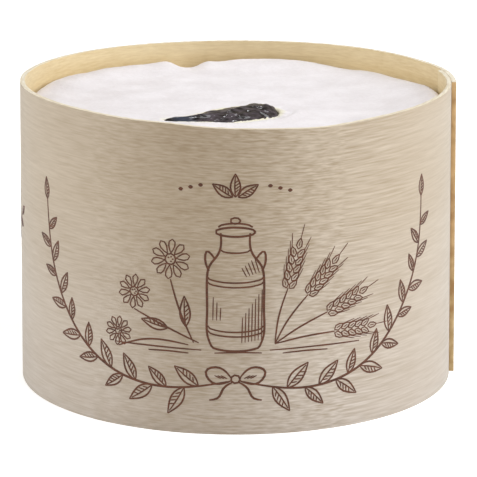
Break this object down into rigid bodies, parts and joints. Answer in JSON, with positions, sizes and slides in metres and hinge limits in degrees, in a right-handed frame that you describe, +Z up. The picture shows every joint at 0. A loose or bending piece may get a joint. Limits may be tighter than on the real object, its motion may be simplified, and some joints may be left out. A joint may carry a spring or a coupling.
{
  "type": "small soft cheese in its open round wooden case",
  "caption": "White soft-ripened cheese wheel in its own open round case of thin bent wood, with a dark glossy piece pressed into the top.",
  "frame": {"origin": "on the wheel's axis, at the foot of the case, on the surface it stands on", "axes": "+Z up along the wheel's axis; -Y towards the printed front; +X towards the lapped ends of the veneer strip"},
  "size_m": [0.0877, 0.0866, 0.0606],
  "materials": {
    "veneer": "bare sliced poplar, matt, with fine short wavy grain round the band",
    "base_wood": "bare thin wood, matt, with straight grain across",
    "white_rind": "soft white bloom, matt, faintly mottled",
    "dark_gloss": "black-brown, moist and glossy, finely wrinkled",
    "steel_wire": "bright drawn wire"
  },
  "bodies": {
    "root": {"band": "veneer", "base": "base_wood", "cheese": "white_rind", "garnish": "dark_gloss", "staple_1": "steel_wire", "staple_2": "steel_wire"}
  },
  "joints": []
}
